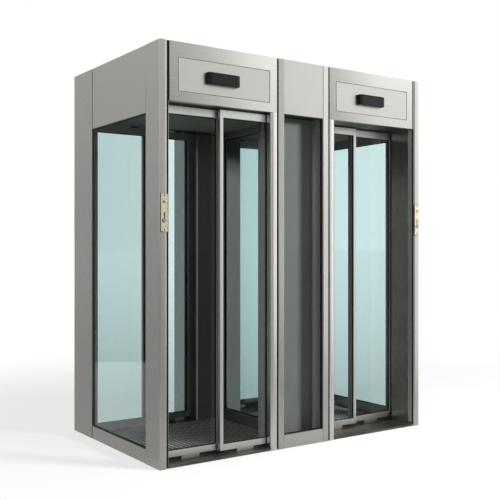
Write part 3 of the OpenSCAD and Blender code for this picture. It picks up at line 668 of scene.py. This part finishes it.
def turned_forms(profile_mm, places):
    """Solids of revolution about y, from (radius, height out of the face) rows in millimetres, at
    places that each come with the way out of the face."""
    form = bmesh.new()
    angles = [math.tau * k / TURN_STEPS for k in range(TURN_STEPS)]
    for middle, out in places:
        rings = []
        for radius_mm, height_mm in profile_mm:
            radius = radius_mm * MM
            y = middle.y + out * height_mm * MM
            spots = [(middle.x + radius * math.cos(a), y, middle.z + radius * math.sin(a)) for a in angles]
            rings.append([form.verts.new(spot) for spot in (spots if radius else spots[:1])])
        for low, high in zip(rings, rings[1:]):
            for k in range(TURN_STEPS):
                corners = [low[k % len(low)], low[(k + 1) % len(low)],
                           high[(k + 1) % len(high)], high[k % len(high)]]
                face = form.faces.new(list(dict.fromkeys(corners)))
                face.smooth = True
    return form


def lock_plate_fittings():
    """Countersunk screws near both ends of each lock plate, and the domed cap of each push
    button."""
    middle_z = (PLATE_LOW + PLATE_HIGH) / 2
    plates = [(Vector((x, out * PLATE_FRONT, middle_z)), out)
              for x in (-PLATE_X, PLATE_X) for out in (-1, 1)]
    screws = [(Vector((middle.x, middle.y, z)), out) for middle, out in plates
              for z in (PLATE_LOW + SCREW_INSET, PLATE_HIGH - SCREW_INSET)]
    put_piece("plate_screws", turned_forms(SCREW_HEAD, screws), "frame", "switch_metal", SCREW)
    caps = [(middle + Vector((0, BUTTON_PROUD * out, BUTTON_UP)), out) for middle, out in plates]
    put_piece("button_caps", turned_forms(BUTTON_DOME, caps), "frame", "switch_metal", SWITCH)


def softbox(name, place, aim, width, height, watts):
    """A rectangular lamp that faces a point."""
    data = bpy.data.lights.new(name, "AREA")
    data.shape = "RECTANGLE"
    data.size = width
    data.size_y = height
    data.energy = watts
    lamp = bpy.data.objects.new(name, data)
    lamp.visible_glossy = False
    lamp.visible_transmission = False
    lamp.location = place
    lamp.rotation_euler = (Vector(aim) - Vector(place)).to_track_quat("-Z", "Y").to_euler()
    bpy.context.scene.collection.objects.link(lamp)


def fewer(tree, limit, *kinds):
    """One where the way of the light has had fewer than limit bounces of these kinds, otherwise
    nought."""
    path = add_node(tree, "ShaderNodeLightPath")
    count = path.outputs[kinds[0]]
    for kind in kinds[1:]:
        both = add_node(tree, "ShaderNodeMath", {0: count, 1: path.outputs[kind]}, operation="ADD")
        count = both.outputs[0]
    return add_node(tree, "ShaderNodeMath", {0: count, 1: limit - 0.5}, operation="LESS_THAN").outputs[0]


def level_by_way(tree, through, steel, pane, inside, ambient):
    """How bright the studio is for each way that its light takes: seen through glass, mirrored by
    the outer steel, mirrored by a pane, mirrored by metal behind the panes, or spread by a matt
    face. Each level is a number or a socket. The photographer's cards and flags do the same."""
    singular = add_node(tree, "ShaderNodeLightPath").outputs["Is Singular Ray"]
    outer_pane = add_node(tree, "ShaderNodeMath", {0: singular, 1: fewer(tree, 3, "Transmission Depth")},
                          operation="MULTIPLY")
    behind = add_node(tree, "ShaderNodeMix", {0: outer_pane.outputs[0], 2: inside, 3: pane})
    on_steel = fewer(tree, 1, "Transmission Depth", "Is Singular Ray")
    mirrored = add_node(tree, "ShaderNodeMix", {0: on_steel, 2: behind.outputs[0], 3: steel})
    sharp = fewer(tree, 1, "Diffuse Depth")
    cast = add_node(tree, "ShaderNodeMix", {0: sharp, 2: ambient, 3: mirrored.outputs[0]})
    straight = fewer(tree, 1, "Diffuse Depth", "Glossy Depth")
    return add_node(tree, "ShaderNodeMix", {0: straight, 2: cast.outputs[0], 3: through}).outputs[0]


def studio_floor_paint():
    """Matt floor paint. To the eye: white, with a soft shadow about the portal, and away from the
    portal it goes over into the white of the backdrop."""
    material, tree, place = new_material("studio_floor_paint")
    away = add_node(tree, "ShaderNodeVectorMath", {0: place}, operation="LENGTH").outputs["Value"]
    back = add_node(tree, "ShaderNodeSeparateXYZ", {0: place}).outputs["Y"]
    glow = add_node(tree, "ShaderNodeMapRange", {"Value": away, **FLOOR_GLOW},
                    interpolation_type="SMOOTHSTEP")
    paint = add_node(tree, "ShaderNodeMapRange", {"Value": away, **FLOOR_PAINT},
                     interpolation_type="SMOOTHSTEP")
    lit = add_node(tree, "ShaderNodeBsdfDiffuse", {"Color": paint.outputs["Result"]})
    white = add_node(tree, "ShaderNodeEmission", {"Strength": glow.outputs["Result"]})
    seen = add_node(tree, "ShaderNodeAddShader", {0: lit.outputs["BSDF"], 1: white.outputs["Emission"]})

    # Seen through glass, it grows brighter away from the portal: a painted shadow of the portal on it
    near = add_node(tree, "ShaderNodeMath", {0: -THROUGH_REACH, 1: away}, operation="DIVIDE")
    fall = add_node(tree, "ShaderNodeMath", {0: near.outputs[0]}, operation="EXPONENT")
    through = add_node(tree, "ShaderNodeMath", {0: fall.outputs[0], 1: THROUGH_GAIN, 2: THROUGH_NEAR},
                       operation="MULTIPLY_ADD")

    # In the steel it is brighter to the right, and close before the front
    right = add_node(tree, "ShaderNodeVectorMath", {0: place, 1: FLOOR_BRIGHT_WAY}, operation="DOT_PRODUCT")
    side = add_node(tree, "ShaderNodeMapRange", {"Value": right.outputs["Value"], **FLOOR_SIDE},
                    interpolation_type="SMOOTHSTEP")
    close = add_node(tree, "ShaderNodeMapRange", {"Value": away, **FLOOR_CLOSE})
    front = add_node(tree, "ShaderNodeMapRange", {"Value": back, **FLOOR_FRONT})
    before = add_node(tree, "ShaderNodeMath", {0: close.outputs["Result"], 1: front.outputs["Result"]},
                      operation="MULTIPLY")
    steel = add_node(tree, "ShaderNodeMath", {0: side.outputs["Result"], 1: before.outputs[0]},
                     operation="ADD")

    # In a pane only the rear of it shows, up to where the room begins
    short = add_node(tree, "ShaderNodeMapRange", {"Value": away, **FLOOR_IN_PANE})
    rear = add_node(tree, "ShaderNodeMapRange", {"Value": back, **FLOOR_REAR})
    pane = add_node(tree, "ShaderNodeMath", {0: short.outputs["Result"], 1: rear.outputs["Result"]},
                    operation="MULTIPLY")

    level = level_by_way(tree, through.outputs[0], steel.outputs[0], pane.outputs[0], FLOOR_INSIDE,
                         FLOOR_AMBIENT)
    thrown = add_node(tree, "ShaderNodeEmission", {"Strength": level})
    direct = fewer(tree, 1, "Diffuse Depth", "Glossy Depth", "Transmission Depth")
    either = add_node(tree, "ShaderNodeMixShader",
                      {0: direct, 1: thrown.outputs["Emission"], 2: seen.outputs["Shader"]})
    add_node(tree, "ShaderNodeOutputMaterial", {"Surface": either.outputs["Shader"]})
    return material


def studio_floor():
    """A pale floor that reaches to the horizon."""
    mesh = bpy.data.meshes.new("studio_floor")
    corners = [(x * FLOOR_REACH, y * FLOOR_REACH, 0) for x, y in ((-1, -1), (1, -1), (1, 1), (-1, 1))]
    mesh.from_pydata(corners, [], [(0, 1, 2, 3)])
    mesh.materials.append(studio_floor_paint())
    floor = bpy.data.objects.new("studio_floor", mesh)
    bpy.context.scene.collection.objects.link(floor)


def studio_backdrop():
    """White behind the portal, and brighter still through its glass. What the outer steel mirrors
    is a grey room, lighter to the right of the front, and what reaches the cabins is dimmer."""
    world = bpy.data.worlds.new("studio_backdrop")
    bpy.context.scene.world = world
    world.use_nodes = True
    tree = world.node_tree
    tree.nodes.clear()
    way = add_node(tree, "ShaderNodeTexCoord").outputs["Generated"]
    parts = add_node(tree, "ShaderNodeSeparateXYZ", {0: way})
    above = add_node(tree, "ShaderNodeMapRange", {"Value": parts.outputs["Z"], **ROOM_ABOVE})
    across = add_node(tree, "ShaderNodeMapRange", {"Value": parts.outputs["X"], **ROOM_ACROSS})
    wall = add_node(tree, "ShaderNodeValToRGB", {0: across.outputs["Result"]})
    stops = wall.color_ramp.elements
    for share, _ in WALL_GREYS[1:-1]:
        stops.new(share)
    for stop, (_, grey) in zip(stops, WALL_GREYS):
        stop.color = (grey, grey, grey, 1.0)
    lit_wall = add_node(tree, "ShaderNodeMath", {0: wall.outputs["Color"], 1: WALL_LIT},
                        operation="MULTIPLY")
    room = add_node(tree, "ShaderNodeMath", {0: lit_wall.outputs[0], 1: above.outputs["Result"]},
                    operation="MULTIPLY")
    bright = add_node(tree, "ShaderNodeMapRange", {"Value": parts.outputs["X"], **ROOM_THROUGH})
    no_glass = fewer(tree, 1, "Transmission Depth")
    through = add_node(tree, "ShaderNodeMix", {0: no_glass, 2: bright.outputs["Result"], 3: 1.0})
    inside = add_node(tree, "ShaderNodeMapRange", {"Value": parts.outputs["Y"], **ROOM_INSIDE})
    ambient = add_node(tree, "ShaderNodeMapRange", {"Value": parts.outputs["Y"], **ROOM_AMBIENT})
    level = level_by_way(tree, through.outputs[0], room.outputs[0], ROOM_IN_PANE, inside.outputs["Result"],
                         ambient.outputs["Result"])
    sky = add_node(tree, "ShaderNodeBackground", {"Color": (1, 1, 1, 1), "Strength": level})
    add_node(tree, "ShaderNodeOutputWorld", {"Surface": sky.outputs["Background"]})


def photo_camera():
    """The camera at the photograph's place, with its focal length and horizon."""
    data = bpy.data.cameras.new("photo_camera")
    data.sensor_width = SENSOR_MM
    data.lens = FOCAL_PX / IMAGE_PX * SENSOR_MM
    data.shift_y = (HORIZON_PX - IMAGE_PX / 2) / IMAGE_PX
    camera = bpy.data.objects.new("photo_camera", data)
    camera.location = CAMERA_PLACE
    camera.rotation_euler = CAMERA_AIM.to_track_quat("-Z", "Y").to_euler()
    bpy.context.scene.collection.objects.link(camera)
    bpy.context.scene.camera = camera


for cad_node in SLOT_OF:
    cad_mesh = frame["nodes"][cad_node].data
    cad_mesh.materials.clear()
    cad_mesh.materials.append(finish_of(cad_node))

for cad_node, edge_mm in EASE_MM.items():
    put_eased(cad_node, edge_mm)
centre_posts_with_blocks()
for door in DOORS:
    for leaf in LEAVES:
        put_leaf_frame(door, leaf)
sensors_with_windows()
rebate_seals()
for door in DOORS:
    for leaf in LEAVES:
        glazing_beads(door, leaf)
floor_treads()
lock_plate_fittings()

studio_floor()
studio_backdrop()
for lamp in LAMPS:
    softbox(*lamp)
photo_camera()
bpy.context.scene.view_settings.view_transform = "Standard"
